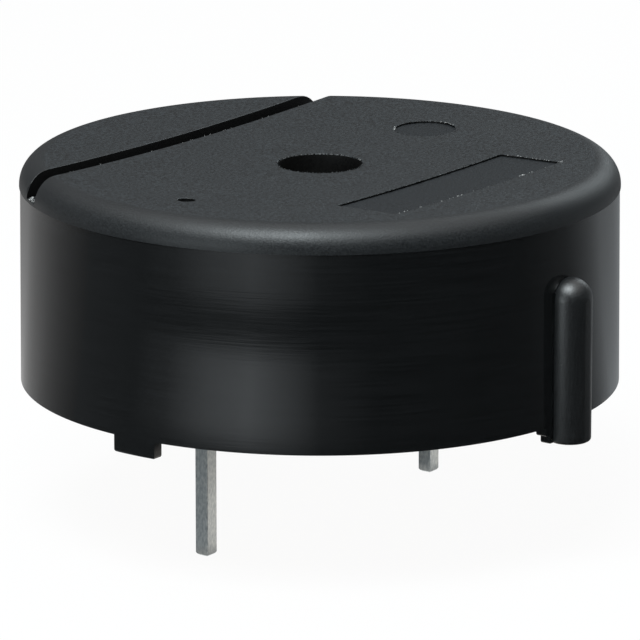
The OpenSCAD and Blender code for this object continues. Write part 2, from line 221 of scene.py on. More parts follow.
# %% [markdown]
# ## Table
# The pin tips stand on a sheet of paper. A shadow catcher would need a second picture to lay it
# over, so the paper itself is a mix: nearly all of it glows white, and a small share is shaded as
# real paper, which leaves a faint shadow. From below it is clear, so that the underside can be
# looked at.

# %% Table
FLOOR_SHADE = 0.05
PAPER = (0.85, 0.85, 0.85, 1)
FLOOR_R = 1500
FLOOR_SEGMENTS = 64


def empty_material(name):
    """A new material without nodes, with its nodes and its links."""
    material = bpy.data.materials.new(name)
    material.use_nodes = True
    material.node_tree.nodes.clear()
    return material, material.node_tree.nodes, material.node_tree.links


def floor_material():
    """Paper that is white to look at, keeps a little shade, and is clear from below."""
    material, nodes, links = empty_material("table_paper")
    paper = nodes.new("ShaderNodeBsdfDiffuse")
    paper.inputs["Color"].default_value = PAPER
    shaded = mixed_shader(nodes, links, FLOOR_SHADE, nodes.new("ShaderNodeEmission"), paper)
    seen = mixed_shader(nodes, links, seen_directly(nodes, links), paper, shaded)
    below = nodes.new("ShaderNodeNewGeometry").outputs["Backfacing"]
    sided = mixed_shader(nodes, links, below, seen, nodes.new("ShaderNodeBsdfTransparent"))
    links.new(sided.outputs[0], nodes.new("ShaderNodeOutputMaterial").inputs["Surface"])
    return material


def mesh_object(name, mesh_data):
    """An object in the scene that shows the given bmesh."""
    mesh = bpy.data.meshes.new(name)
    mesh_data.normal_update()
    mesh_data.to_mesh(mesh)
    mesh_data.free()
    made = bpy.data.objects.new(name, mesh)
    bpy.context.scene.collection.objects.link(made)
    return made


pin_tip_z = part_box("pin_positive")[0].z
disc = bmesh.new()
bmesh.ops.create_circle(disc, cap_ends=True, radius=FLOOR_R * MM, segments=FLOOR_SEGMENTS)
floor = mesh_object("table", disc)
floor.location.z = pin_tip_z
floor.data.materials.append(floor_material())
floor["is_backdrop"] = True
print("floor at", round(floor.location.z / MM, 2), "mm")

# %% [markdown]
# ## What a black part reflects
# Polished black plastic looks like whatever stands round it. Here the wall mirrors a dark room
# with one soft pale patch to the left of the camera. Cards with hard edges could stand in for
# such a room, but every other view would show their edges. So the part stands on a dark cloth in
# a dark tent that is open at the top, and smooth ramps round the axis give both their tones.

# %% Tones round the axis
# A tone's place goes round the axis: 0 is left of the camera, 0.25 towards it, 0.5 right of it
# and 0.75 behind. The cool tint ends where the neutral side begins.
CLOTH_TONES = (
    (0.0, 0.14), (0.08, 0.08), (0.17, 0.06), (0.25, 0.02), (0.4, 0.02), (0.46, 0.04),
    (0.525, 0.15), (0.595, 0.46), (0.64, 0.32), (0.68, 0.26), (0.72, 0.36), (0.8, 0.2),
    (0.865, 0.52), (0.92, 0.44), (1.0, 0.14),
)
TENT_TONES = (
    (0.0, 0.2), (0.15, 0.05), (0.4, 0.05), (0.5, 0.12), (0.6, 0.18), (0.7, 0.18),
    (0.8, 0.17), (1.0, 0.2),
)
PLAIN = (1, 1, 1)
COOL_TINT = (0.93, 0.99, 1.03)
NEUTRAL_FROM = 0.75


def tone_ramp(nodes, links, value, tones, tint=PLAIN):
    """A colour ramp over (place, tone) pairs."""
    ramp = nodes.new("ShaderNodeValToRGB")
    for place, tone in tones[1:-1]:
        ramp.color_ramp.elements.new(place)
    for element, (place, tone) in zip(ramp.color_ramp.elements, tones):
        element.position = place
        element.color = (*[tone * (k if place < NEUTRAL_FROM else 1) for k in tint], 1)
    links.new(value, ramp.inputs["Fac"])
    return ramp.outputs["Color"]


def around_axis(nodes, links, place):
    """How far round the axis a point lies, from 0 to 1."""
    turn = nodes.new("ShaderNodeTexGradient")
    turn.gradient_type = "RADIAL"
    links.new(place.outputs["Object"], turn.inputs["Vector"])
    return turn.outputs["Fac"]


def glowing(name):
    """A new material that only glows, with its nodes, its links and its colour socket."""
    material, nodes, links = empty_material(name)
    glow = nodes.new("ShaderNodeEmission")
    links.new(glow.outputs[0], nodes.new("ShaderNodeOutputMaterial").inputs["Surface"])
    return material, nodes, links, glow.inputs["Color"]


print("tones:", len(CLOTH_TONES), "on the cloth and", len(TENT_TONES), "on the tent")

# %% [markdown]
# ## The cloth, with a patch and four spots
# The pale patch lies on the cloth. One ramp lets it swell and fade round the axis, and another
# one, over the distance from the axis, splits it into two bands, because the wall shows a darker
# band across its pale patch. Each face of a metal pin is a small mirror, so four soft ovals lie
# where those faces look. Small lamps would do the same, but they would light the part as well.

# %% Tones of the cloth
PATCH_TONES = (
    (0.0, 0), (0.07, 0), (0.106, 0.2), (0.147, 0.86), (0.186, 1.26), (0.222, 0.65),
    (0.25, 0.16), (0.3, 0), (1.0, 0),
)
PATCH_REACH = 110
PATCH_BANDS = (
    (0.0, 0), (0.29, 0), (0.335, 1), (0.45, 1), (0.475, 0), (0.53, 0), (0.555, 0.6),
    (0.84, 0.6), (0.9, 0),
)
# Each spot: middle (right, towards the camera), half length, half width, tone and tint.
WARM_TINT = (1.03, 1.0, 0.95)
SPOTS = (
    ((5.4, 3.2), 12.5, 4.2, 0.85, WARM_TINT),
    ((-12.2, 7.5), 9.5, 3, 0.26, COOL_TINT),
    ((14.3, -9), 12, 3.4, 0.82, WARM_TINT),
    ((-5.2, -3.6), 11, 3.6, 0.02, COOL_TINT),
)
SPOT_TURN = math.radians(15)
SPOT_TONES = ((0.0, 0), (0.35, 1))


def vector_step(nodes, links, operation, first, second):
    """The result of one step of vector arithmetic, which also works on colours."""
    step = nodes.new("ShaderNodeVectorMath")
    step.operation = operation
    links.new(first, step.inputs[0])
    links.new(second, step.inputs[1])
    return step.outputs["Vector"]


def with_spot(nodes, links, place, colour, spot):
    """Lays one soft oval spot over a colour."""
    (right, near), half_length, half_width, tone, tint = spot
    where = nodes.new("ShaderNodeMapping")
    where.vector_type = "TEXTURE"
    where.inputs["Location"].default_value = (right * MM, -near * MM, 0)
    where.inputs["Rotation"].default_value = (0, 0, SPOT_TURN)
    where.inputs["Scale"].default_value = (half_length * MM, half_width * MM, 1)
    links.new(place.outputs["Object"], where.inputs["Vector"])
    ball = nodes.new("ShaderNodeTexGradient")
    ball.gradient_type = "SPHERICAL"
    links.new(where.outputs[0], ball.inputs["Vector"])
    laid = nodes.new("ShaderNodeMix")
    laid.data_type = "RGBA"
    laid.inputs["B"].default_value = (*[tone * k for k in tint], 1)
    links.new(tone_ramp(nodes, links, ball.outputs["Fac"], SPOT_TONES), laid.inputs["Factor"])
    links.new(colour, laid.inputs["A"])
    return laid.outputs["Result"]


def cloth_material():
    """Tones round the axis, plus the patch in its two bands, with the spots on top."""
    material, nodes, links, glow = glowing("dark_cloth")
    place = nodes.new("ShaderNodeTexCoord")
    turn = around_axis(nodes, links, place)
    length = nodes.new("ShaderNodeVectorMath")
    length.operation = "LENGTH"
    links.new(place.outputs["Object"], length.inputs[0])
    distance = math_step(nodes, links, "DIVIDE", length.outputs["Value"], PATCH_REACH * MM)
    bands = tone_ramp(nodes, links, distance, PATCH_BANDS)
    patch = tone_ramp(nodes, links, turn, PATCH_TONES, COOL_TINT)
    patch = vector_step(nodes, links, "MULTIPLY", patch, bands)
    plain = tone_ramp(nodes, links, turn, CLOTH_TONES, COOL_TINT)
    colour = vector_step(nodes, links, "ADD", plain, patch)
    for spot in SPOTS:
        colour = with_spot(nodes, links, place, colour, spot)
    links.new(colour, glow)
    return material


print("patch out to", PATCH_REACH, "mm, and", len(SPOTS), "soft spots")

# %% [markdown]
# ## Seen by reflections alone
# A real dark cloth would also darken the page and block the lamps. Blender can hide an object
# from each kind of ray, so the cloth and the tent stay in place for reflections only: they cast
# no shadow and the camera looks through them. Both are turned to the camera's side, because
# their tones are placed from there.

# %% Cloth and tent
TENT_R = 400
TENT_H = 400
TENT_SEGMENTS = 96
CLOTH_LIFT = 0.05


def tent_material():
    """Tones round the axis and nothing else."""
    material, nodes, links, glow = glowing("dark_tent")
    turn = around_axis(nodes, links, nodes.new("ShaderNodeTexCoord"))
    links.new(tone_ramp(nodes, links, turn, TENT_TONES, COOL_TINT), glow)
    return material


def for_reflections_only(name, shape, material):
    """An object that only reflections meet, turned to the camera and just above the table."""
    piece = mesh_object(name, shape)
    piece.data.materials.append(material)
    piece.rotation_euler.z = CAMERA_TURN
    piece.location.z = pin_tip_z + CLOTH_LIFT * MM
    piece.visible_camera = piece.visible_diffuse = piece.visible_transmission = False
    piece.visible_volume_scatter = piece.visible_shadow = False
    piece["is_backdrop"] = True


cloth = bmesh.new()
bmesh.ops.create_circle(cloth, cap_ends=True, radius=TENT_R * MM, segments=TENT_SEGMENTS)
for_reflections_only("dark_cloth", cloth, cloth_material())
band = bmesh.new()
bmesh.ops.create_circle(band, radius=TENT_R * MM, segments=TENT_SEGMENTS)
lifted = bmesh.ops.extrude_edge_only(band, edges=band.edges[:])["geom"]
upper = [v for v in lifted if isinstance(v, bmesh.types.BMVert)]
bmesh.ops.translate(band, vec=(0, 0, TENT_H * MM), verts=upper)
for_reflections_only("dark_tent", band, tent_material())
print("cloth and tent:", 2 * TENT_R, "mm across and", TENT_H, "mm high")

# %% [markdown]
# ## The case: turn it first, cut it afterwards
# The real case is one moulding, and nearly all of it is round. A cylinder with a bevel would come
# close, but it has no hollow top, no leaning wall and no step at the parting line. So the case
# starts as a turned shape: one outline, with all the soft lines of the real part, carried round
# the axis. Cuts made afterwards keep this clean grid of faces everywhere else.

# %% Sizes of the case, in millimetres
TOP_Z = case_high.z / MM
RIM_R = case_high.x / MM
RIM_Z = 0.7
# The wall leans in a little towards the top, and the cap stands slightly proud of it.
WALL_LEAN = 0.06
CAP_PROUD = 0.04
WALL_R = RIM_R - WALL_LEAN
CAP_R = WALL_R + CAP_PROUD
CAP_ROUND = 1.0
CAP_BAND = 0.05
FLAT_R = CAP_R - CAP_ROUND
PARTING_Z = TOP_Z - CAP_ROUND - CAP_BAND
# The hollow of the top face is part of a large sphere.
DISH_DEPTH = 0.28
DISH_R = (FLAT_R ** 2 + DISH_DEPTH ** 2) / (2 * DISH_DEPTH)
# Inside, the case steps to hold the sealing bead, the circuit board and the diaphragm.
POCKET_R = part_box("board_sealant")[1].x / MM
CHAMBER_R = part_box("diaphragm_adhesive")[1].x / MM
SHOULDER_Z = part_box("circuit_board")[1].z / MM
SEAT_R = 9.5
SEAT_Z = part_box("diaphragm_plate")[1].z / MM
CEILING_Z = 7.9


def cap_height(radius):
    """Height of the outside of the cap at a distance from the axis."""
    if radius <= FLAT_R:
        return TOP_Z - DISH_DEPTH + DISH_R - math.sqrt(DISH_R ** 2 - radius ** 2)
    past = min(radius - FLAT_R, CAP_ROUND)
    return TOP_Z - CAP_ROUND + math.sqrt(CAP_ROUND ** 2 - past ** 2)


hollow = TOP_Z - cap_height(0)
print("hollow of the top:", round(hollow, 3), "mm, part of a sphere of", round(DISH_R), "mm")

# %% [markdown]
# ## Turning
# The outline runs up the outside, over the top and back down the inside. Blender's Screw modifier
# can carry it round as well. Here each ring is made in code, because a ring on the axis has to
# shrink to one point, and the same function then turns the rib, the cutters and the bead.

# %% Turn the body
ROUND_STEPS = 360
ON_AXIS = 1e-6
FOOT_T = 0.45
FOOT_EDGE = 0.1
LEDGE = 0.01
WALL_ROWS = 12
EDGE_ROWS = 20
TOP_ROWS = 24


def arc(middle, radius, start, end, steps):
    """Points of an arc in the outline's plane, from one angle to another, in degrees."""
    angles = [math.radians(start + (end - start) * i / steps) for i in range(steps + 1)]
    return [(middle[0] + radius * math.cos(a), middle[1] + radius * math.sin(a)) for a in angles]


def turned(name, outline, steps=ROUND_STEPS, middle=(0, 0, 0)):
    """A solid whose closed outline of (radius, height) is carried round an upright axis."""
    shape = bmesh.new()
    rings = []
    for radius, height in outline:
        angles = [2 * math.pi * i / steps for i in range(1 if radius < ON_AXIS else steps)]
        rings.append([shape.verts.new((radius * math.cos(a), radius * math.sin(a), height))
                      for a in angles])
    for lower, upper in zip(rings, rings[1:] + rings[:1]):
        for i in range(steps):
            corners = []
            for ring, j in ((lower, i), (lower, i + 1), (upper, i + 1), (upper, i)):
                corner = ring[j % len(ring)]
                if corner not in corners:
                    corners.append(corner)
            if len(corners) > 2:
                shape.faces.new(corners)
    bmesh.ops.recalc_face_normals(shape, faces=shape.faces)
    bmesh.ops.scale(shape, vec=(MM, MM, MM), verts=shape.verts)
    bmesh.ops.translate(shape, vec=Vector(middle) * MM, verts=shape.verts)
    return mesh_object(name, shape)


wall_rise = PARTING_Z - LEDGE - RIM_Z
outside = [(RIM_R - FOOT_T, 0)]
outside += arc((RIM_R - FOOT_EDGE, FOOT_EDGE), FOOT_EDGE, -90, 0, 4)
outside += [(RIM_R - (RIM_R - WALL_R) * i / WALL_ROWS, RIM_Z + wall_rise * i / WALL_ROWS)
            for i in range(WALL_ROWS + 1)]
outside += [(CAP_R, PARTING_Z - LEDGE)]
outside += arc((FLAT_R, TOP_Z - CAP_ROUND), CAP_ROUND, 0, 90, EDGE_ROWS)
radii = [FLAT_R * (1 - i / TOP_ROWS) for i in range(1, TOP_ROWS + 1)]
outside += [(radius, cap_height(radius)) for radius in radii]
inside = [(0, CEILING_Z), (SEAT_R, CEILING_Z), (SEAT_R, SEAT_Z), (CHAMBER_R, SEAT_Z)]
inside += [(CHAMBER_R, SHOULDER_Z), (POCKET_R, SHOULDER_Z), (POCKET_R, RIM_Z)]
inside += [(RIM_R - FOOT_T, RIM_Z)]
case = turned("moulded_case", outside + inside)
print("turned body:", len(case.data.polygons), "faces")

# %% [markdown]
# ## Feet
# Four feet keep the case off the circuit board. They could be four blocks joined on, but then
# their outer faces would have to be fitted to the round wall. In the turned body they are still
# one ring with the right faces, so the gaps between them are cut out. The cutter is a plate with
# two bars missing: each bar carries the outline of two opposite feet, with round lower corners.

# %% Cut the gaps between the feet
FOOT_W = 2.0
FOOT_STEP_W = 0.27
FOOT_STEP_Z = RIM_Z - 0.35
FOOT_CORNER = 0.12
CORNER_STEPS = 6
GAP_STEPS = 96
PAST = 1.0


def combine(body, tool, operation):
    """Cuts or joins a tool into a body for good, and removes the tool."""
    step = body.modifiers.new("combine", "BOOLEAN")
    step.object = tool
    step.operation = operation
    step.solver = "EXACT"
    depsgraph = bpy.context.evaluated_depsgraph_get()
    result = bpy.data.meshes.new_from_object(body.evaluated_get(depsgraph))
    body.modifiers.clear()
    body.data = result
    bpy.data.objects.remove(tool)


def bar(name, outline, length, turn):
    """A straight bar with an outline of (across, height), centred on the axis."""
    shape = bmesh.new()
    ends = []
    for along in (-length / 2, length / 2):
        ends.append([shape.verts.new((along, across, height)) for across, height in outline])
    shape.faces.new(ends[0])
    shape.faces.new(ends[1])
    for i in range(len(outline)):
        j = (i + 1) % len(outline)
        shape.faces.new((ends[0][i], ends[0][j], ends[1][j], ends[1][i]))
    bmesh.ops.recalc_face_normals(shape, faces=shape.faces)
    bmesh.ops.scale(shape, vec=(MM, MM, MM), verts=shape.verts)
    turning = Matrix.Rotation(turn, 3, "Z")
    bmesh.ops.rotate(shape, cent=(0, 0, 0), matrix=turning, verts=shape.verts)
    return mesh_object(name, shape)


def right_side_of_foot(stepped):
    """The foot's outline on one side of its middle, from its underside up past the rim."""
    half = FOOT_W / 2
    side = arc((half - FOOT_CORNER, FOOT_CORNER), FOOT_CORNER, -90, 0, CORNER_STEPS)
    if stepped:
        side += [(half, FOOT_STEP_Z)]
        middle = (half + FOOT_STEP_W - FOOT_CORNER, FOOT_STEP_Z + FOOT_CORNER)
        side += arc(middle, FOOT_CORNER, -90, 0, CORNER_STEPS)
    return side + [(side[-1][0], RIM_Z + PAST)]


plate = [(0, -PAST), (RIM_R + PAST, -PAST), (RIM_R + PAST, RIM_Z), (0, RIM_Z)]
gaps = turned("gaps", plate, GAP_STEPS)
for turn, stepped in ((0, False), (math.pi / 2, True)):
    right = right_side_of_foot(stepped)
    left = [(-across, height) for across, height in reversed(right)]
    combine(gaps, bar("foot_bar", right + left, 4 * RIM_R, turn), "DIFFERENCE")
combine(case, gaps, "DIFFERENCE")
print("with feet:", len(case.data.polygons), "faces")

# %% [markdown]
# ## Rib
# An upright rib on the wall locates the buzzer in its housing. Pulling it out of the wall's faces
# would leave a stretched grid, so it is turned as a pin of its own, with a domed end. It stands
# half inside the wall, and a union makes it one with the case.

# %% Join the rib
RIB_R = 0.86
RIB_OUT = 0.24
RIB_DOME_Z = 5.73
RIB_EDGE = 0.15
RIB_STEPS = 64
rib_outline = [(0, 0)] + arc((RIB_R - RIB_EDGE, RIB_EDGE), RIB_EDGE, -90, 0, 5)
rib_outline += arc((0, RIB_DOME_Z), RIB_R, 0, 90, 16)
rib = turned("rib", rib_outline, RIB_STEPS, (0, -WALL_R - RIB_OUT, 0))
combine(case, rib, "UNION")
print("with feet and rib:", len(case.data.polygons), "faces")

# %% [markdown]
# ## Slot, holes and recesses
# Five cuts go down into the top face: the slot, the sound hole, the small vent, the round mark
# and the bare panel. Each has a lip, the tiny rounding that a mould leaves. The Bevel modifier
# could round them after the cut, but it stumbles over the slivers that a cut leaves. So the
# cutter has the lip: it stacks rings of one outline, each point set against the height of the
# hollow face right there.

# %% One kind of cutter for all five
LIP_STEPS = (0, 30, 60)
FLARE = math.tan(math.radians(30))


def chain(half_x, corner, half_y, straight, curve):
    """One long side of a rounded outline, as (x, y), left to right. The other mirrors it."""
    left = [(-half_x + corner * (1 - math.cos(math.pi / 2 * i / curve)),
             half_y - corner * (1 - math.sin(math.pi / 2 * i / curve))) for i in range(curve + 1)]
    inner = half_x - corner
    middle = [(-inner + 2 * inner * i / straight, half_y) for i in range(1, straight)]
    return left + middle + [(-x, y) for x, y in reversed(left)]


def lip_levels(lip):
    """Each ring's (offset outwards, rise over the face): floor, lip, flare, and far above."""
    levels = [(0, None)]
    for a in LIP_STEPS:
        a = math.radians(a)
        levels.append((lip * (1 - math.cos(a)), -lip * (1 - math.sin(a))))
    levels.append((levels[-1][0] + 2 * lip, levels[-1][1] + 2 * lip * FLARE))
    return levels + [(levels[-1][0], PAST)]


def ring_height(face, floor_z, lip, rise):
    """Height of a ring's point. A floor under zero is a depth below the hollow face."""
    if rise is None:
        return floor_z if floor_z > 0 else face + floor_z
    return (max(face, floor_z + lip) if floor_z > 0 else face) + rise


def cutter(name, middle, half_x, half_y, corner, floor_z, lip, straight=2, curve=8):
    """A cutter with a lip that follows the hollow face."""
    shape = bmesh.new()
    rings = []
    for out, rise in lip_levels(lip):
        side = chain(half_x + out, corner + out, half_y + out, straight, curve)
        ring = []
        for x, y in side + [(x, -y) for x, y in reversed(side)]:
            x, y = middle[0] + x, middle[1] + y
            z = ring_height(cap_height(math.hypot(x, y)), floor_z, lip, rise)
            ring.append(shape.verts.new((x * MM, y * MM, z * MM)))
        rings.append(ring)
    count = len(rings[0])
    for lower, upper in zip(rings, rings[1:]):
        for i in range(count):
            j = (i + 1) % count
            shape.faces.new((lower[i], lower[j], upper[j], upper[i]))
    for ring in (rings[0], rings[-1]):
        for i in range(count // 2 - 1):
            shape.faces.new((ring[i], ring[i + 1], ring[count - 2 - i], ring[count - 1 - i]))
    bmesh.ops.recalc_face_normals(shape, faces=shape.faces)
    return mesh_object(name, shape)


print("rings in a cutter:", len(lip_levels(1)))

# %% [markdown]
# ## The five cuts
# The slot runs right across the cap, the two holes go through its ceiling, and the mark and the
# panel are only 0.08 mm deep. One long cutter could hold all five, but one at a time is easier to
# change, and the Boolean modifier stays exact.

# %% Cut the case
SLOT_Y, SLOT_W, SLOT_FLOOR = 6.87, 0.9, TOP_Z - 0.95
HOLE_R, VENT_R, VENT_X = 1.7, 0.35, -8.65
MARK_R, MARK_X = 1.25, 7.15
PANEL_X, PANEL_Y, PANEL_L, PANEL_W = -0.25, -6.6, 11, 2.9
SUNK = 0.08
THROUGH = CEILING_Z - PAST
SLOT_LIP, HOLE_LIP, VENT_LIP, RECESS_LIP = 0.04, 0.07, 0.04, 0.03
SLOT_CORNER, PANEL_CORNER = 0.05, 0.1
cuts = [
    cutter("slot", (0, SLOT_Y), WALL_R + PAST, SLOT_W / 2, SLOT_CORNER, SLOT_FLOOR, SLOT_LIP,
           straight=120),
    cutter("sound_hole", (0, 0), HOLE_R, HOLE_R, HOLE_R, THROUGH, HOLE_LIP, curve=24),
    cutter("vent", (VENT_X, 0), VENT_R, VENT_R, VENT_R, THROUGH, VENT_LIP, curve=12),
    cutter("mark", (MARK_X, 0), MARK_R, MARK_R, MARK_R, -SUNK, RECESS_LIP, curve=20),
    cutter("panel", (PANEL_X, PANEL_Y), PANEL_L / 2, PANEL_W / 2, PANEL_CORNER, -SUNK, RECESS_LIP,
           straight=40),
]
for tool in cuts:
    combine(case, tool, "DIFFERENCE")
print("cut case:", len(case.data.polygons), "faces")

# %% [markdown]
# ## Shading that the cuts can't disturb
# A cut leaves slivers beside it, and smooth shading would turn them into faint dark spots.
# Blender's weighted normals would hide most of them, but the true direction of a turned surface
# is known at each point. So every corner that lies on it gets that direction, and only the cut
# faces keep what Blender works out.

# %% Set the directions of the outside
NEAR = 0.01
TOP_FROM_Z = CEILING_Z + PAST
SAME_FACE = math.cos(math.radians(8))
SHARP = math.radians(28)


def outside_direction(x, y, z):
    """The true outward direction at a point of the turned outside, or None inside the case."""
    radius = math.hypot(x, y)
    if z > TOP_Z - CAP_ROUND and radius > FLAT_R:
        across, up = radius - FLAT_R, z - (TOP_Z - CAP_ROUND)
    elif z > TOP_FROM_Z and radius <= FLAT_R:
        across, up = -radius, TOP_Z - DISH_DEPTH + DISH_R - z
    elif radius > WALL_R - NEAR:
        across, up = 1, (RIM_R - WALL_R) / (PARTING_Z - RIM_Z)
    else:
        return None
    radius = max(radius, ON_AXIS)
    return Vector((across * x / radius, across * y / radius, up)).normalized()


def set_directions(piece):
    """Gives each corner on the turned outside its true direction, and counts them."""
    mesh = piece.data
    mesh.shade_smooth()
    mesh.set_sharp_from_angle(angle=SHARP)
    directions = [c.vector.copy() for c in mesh.corner_normals]
    kept = 0
    for face in mesh.polygons:
        for corner in face.loop_indices:
            point = mesh.vertices[mesh.loops[corner].vertex_index].co / MM
            true = outside_direction(*point)
            if true and true.dot(face.normal) > SAME_FACE:
                directions[corner] = true
                kept += 1
    mesh.normals_split_custom_set(directions)
    return kept


print("corners on the turned outside:", set_directions(case))

# %% [markdown]
# ## One recipe for every finish
# No real surface is one flat colour. Each finish could be painted as a picture, but then it would
# need unwrapping and would blur close up. One recipe with two noises does without: a fine noise
# sets the tone, the gloss and the relief of the grain, and a slow one clouds the gloss, as
# handling and moulding do.

# %% The recipe
GRAIN_DETAIL, CLOUD_DETAIL = 3, 4
RAMP_FROM, RAMP_TO = 0.35, 0.65
CLOUD_SIZE = 2.5
FINISHES = {}


def noise_value(nodes, links, vector, scale, detail):
    """A noise from 0 to 1."""
    texture = nodes.new("ShaderNodeTexNoise")
    texture.inputs["Scale"].default_value = scale
    texture.inputs["Detail"].default_value = detail
    links.new(vector, texture.inputs["Vector"])
    return texture.outputs["Fac"]


def between(nodes, links, value, low, high):
    """A value from 0 to 1, carried to the range from low to high."""
    carried = nodes.new("ShaderNodeMapRange")
    carried.inputs["To Min"].default_value = low
    carried.inputs["To Max"].default_value = high
    links.new(value, carried.inputs["Value"])
    return carried.outputs[0]


def finish(name, dark, light, roughness, grain, metallic=0.0, bump=0.1, depth=0.01,
           stretch=(1, 1, 1), level=0.5, cloud=0.1):
    """Adds a grained finish. Grain and depth are in millimetres, and level is the mirror share."""
    material = bpy.data.materials.new(name)
    material.use_nodes = True
    nodes, links = material.node_tree.nodes, material.node_tree.links
    shader = nodes["Principled BSDF"]
    shader.inputs["Metallic"].default_value = metallic
    shader.inputs["Specular IOR Level"].default_value = level
    place = nodes.new("ShaderNodeTexCoord").outputs["Object"]
    scale = nodes.new("ShaderNodeMapping")
    scale.inputs["Scale"].default_value = [s / (grain * MM) for s in stretch]
    links.new(place, scale.inputs["Vector"])
    speckle = noise_value(nodes, links, scale.outputs[0], 1, GRAIN_DETAIL)
    ramp = nodes.new("ShaderNodeValToRGB")
    ends = ramp.color_ramp.elements
    ends[0].position, ends[1].position = RAMP_FROM, RAMP_TO
    ends[0].color, ends[1].color = (*dark, 1), (*light, 1)
    links.new(speckle, ramp.inputs["Fac"])
    links.new(ramp.outputs["Color"], shader.inputs["Base Color"])
    rough = between(nodes, links, speckle, *roughness)
    slow = noise_value(nodes, links, place, 1 / (CLOUD_SIZE * MM), CLOUD_DETAIL)
    sway = between(nodes, links, slow, -cloud, cloud)
    links.new(math_step(nodes, links, "ADD", rough, sway), shader.inputs["Roughness"])
    relief = nodes.new("ShaderNodeBump")
    relief.inputs["Strength"].default_value = bump
    relief.inputs["Distance"].default_value = depth * MM
    links.new(speckle, relief.inputs["Height"])
    links.new(relief.outputs[0], shader.inputs["Normal"])
    FINISHES[name] = material


print("each finish has its own grain, and clouds of", CLOUD_SIZE, "mm")

# %% [markdown]
# ## The finishes of one moulding
# The whole case is the same black plastic, yet it doesn't look the same everywhere. The mould was
# eroded where it shapes the cap, which gives the flat top a coarse matt grain and the round edge
# and the rib a finer one. It was turned and polished where it shapes the wall, which is satin
# with faint level lines. The recess floors and the walls of the cuts came from dull inserts. Torn
# plastic turns white, so the flash is pale. One material with masks could hold all of this, but
# separate ones can be tuned one at a time.

# %% Finishes of the case
finish("case_plastic", (0.012, 0.013, 0.014), (0.016, 0.017, 0.018), (0.3, 0.42), 0.08)
finish("case_recess", (0.002, 0.003, 0.004), (0.012, 0.015, 0.018), (0.5, 0.68), 0.09,
       bump=1, depth=0.02, level=0.32)
finish("flash_fleck", (0.12, 0.12, 0.12), (0.45, 0.45, 0.44), (0.4, 0.7), 0.08)
finish("case_wall", (0.0042, 0.0046, 0.0048), (0.0066, 0.0071, 0.0075), (0.05, 0.1), 0.3,
       stretch=(0.1, 0.1, 4), bump=0.1, depth=0.006, cloud=0.03)
finish("case_cap", (0.001, 0.0015, 0.002), (0.02, 0.0245, 0.0278), (0.3, 0.62), 0.12,
       bump=1, depth=0.03)
finish("case_edge", (0.005, 0.006, 0.007), (0.013, 0.015, 0.0165), (0.34, 0.58), 0.075,
       bump=0.7, depth=0.012)
finish("case_rib", (0.003, 0.0035, 0.004), (0.008, 0.0095, 0.0105), (0.34, 0.52), 0.075,
       bump=0.7, depth=0.012, level=0.9)
finish("case_cut", (0.001, 0.001, 0.001), (0.003, 0.003, 0.003), (0.5, 0.65), 0.09,
       bump=0.5, depth=0.01, level=0.2)
print("finishes of the case:", len(FINISHES))

# %% [markdown]
# ## The finishes of the other pieces
# Inside the case are a brass plate, a ceramic disc with fired silver on it, soft white adhesive,
# and the circuit board with its copper, resistors, transistor and lead wires. Rolled brass and
# pressed laminate have a grain in one direction, so their noise is stretched. The tinned pins are
# dull, the solder is bright, and glaze and insulation are smooth. The hidden pieces keep their
# exact solids, because a good finish is all they need.

# %% Finishes of the other pieces
finish("plate_brass", (0.62, 0.44, 0.18), (0.74, 0.55, 0.26), (0.25, 0.45), 0.2, metallic=1,
       stretch=(1, 12, 1))
finish("disc_ceramic", (0.6, 0.56, 0.44), (0.75, 0.71, 0.58), (0.6, 0.8), 0.1)
finish("fired_silver", (0.66, 0.66, 0.64), (0.82, 0.82, 0.8), (0.35, 0.55), 0.15, metallic=1)
finish("white_adhesive", (0.7, 0.7, 0.66), (0.8, 0.8, 0.77), (0.45, 0.6), 0.6)
finish("board_laminate", (0.4, 0.28, 0.11), (0.52, 0.39, 0.17), (0.5, 0.65), 0.25,
       stretch=(1, 6, 1))
finish("board_copper", (0.6, 0.27, 0.14), (0.74, 0.38, 0.22), (0.3, 0.5), 0.2, metallic=1)
finish("tinned_wire", (0.46, 0.49, 0.5), (0.68, 0.7, 0.69), (0.32, 0.5), 0.1, metallic=1,
       stretch=(1, 1, 0.5))
finish("solder", (0.6, 0.6, 0.59), (0.75, 0.75, 0.74), (0.15, 0.35), 0.3, metallic=1)
finish("transistor_resin", (0.018, 0.018, 0.02), (0.035, 0.035, 0.037), (0.5, 0.7), 0.05)
finish("resistor_coat", (0.02, 0.022, 0.03), (0.035, 0.04, 0.055), (0.2, 0.35), 0.15)
finish("red_insulation", (0.4, 0.03, 0.02), (0.52, 0.06, 0.04), (0.3, 0.45), 0.3)
finish("black_insulation", (0.02, 0.02, 0.02), (0.035, 0.035, 0.035), (0.3, 0.45), 0.3)
finish("blue_insulation", (0.03, 0.08, 0.32), (0.05, 0.12, 0.42), (0.3, 0.45), 0.3)
finish("board_resin", (0.05, 0.045, 0.04), (0.1, 0.09, 0.08), (0.15, 0.35), 0.8)
for part in frame["record"]["subparts"]:
    node = frame["nodes"][part["node"]]
    node.data.materials.clear()
    node.data.materials.append(FINISHES[part["material_slot"]])

# %% [markdown]
# ## Which face gets which finish
# Faces could be picked by hand, but each change of a size would undo the picking. Here a rule
# looks at where a face lies and which way it points, just as one would say it: a face that looks
# up from under the hollow is a recess floor, a face above the parting line belongs to the cap,
# and so on.

# %% Dress the case
CASE_FINISHES = ("case_wall", "case_cap", "case_recess", "case_edge", "case_rib", "case_cut")
ON_TURNED = math.cos(math.radians(30))
RECESS_FROM_Z = CEILING_Z + 1.2
LEVEL, LOOKS_UP = 0.9, 0.4
RIB_FROM_R = WALL_R + 0.07


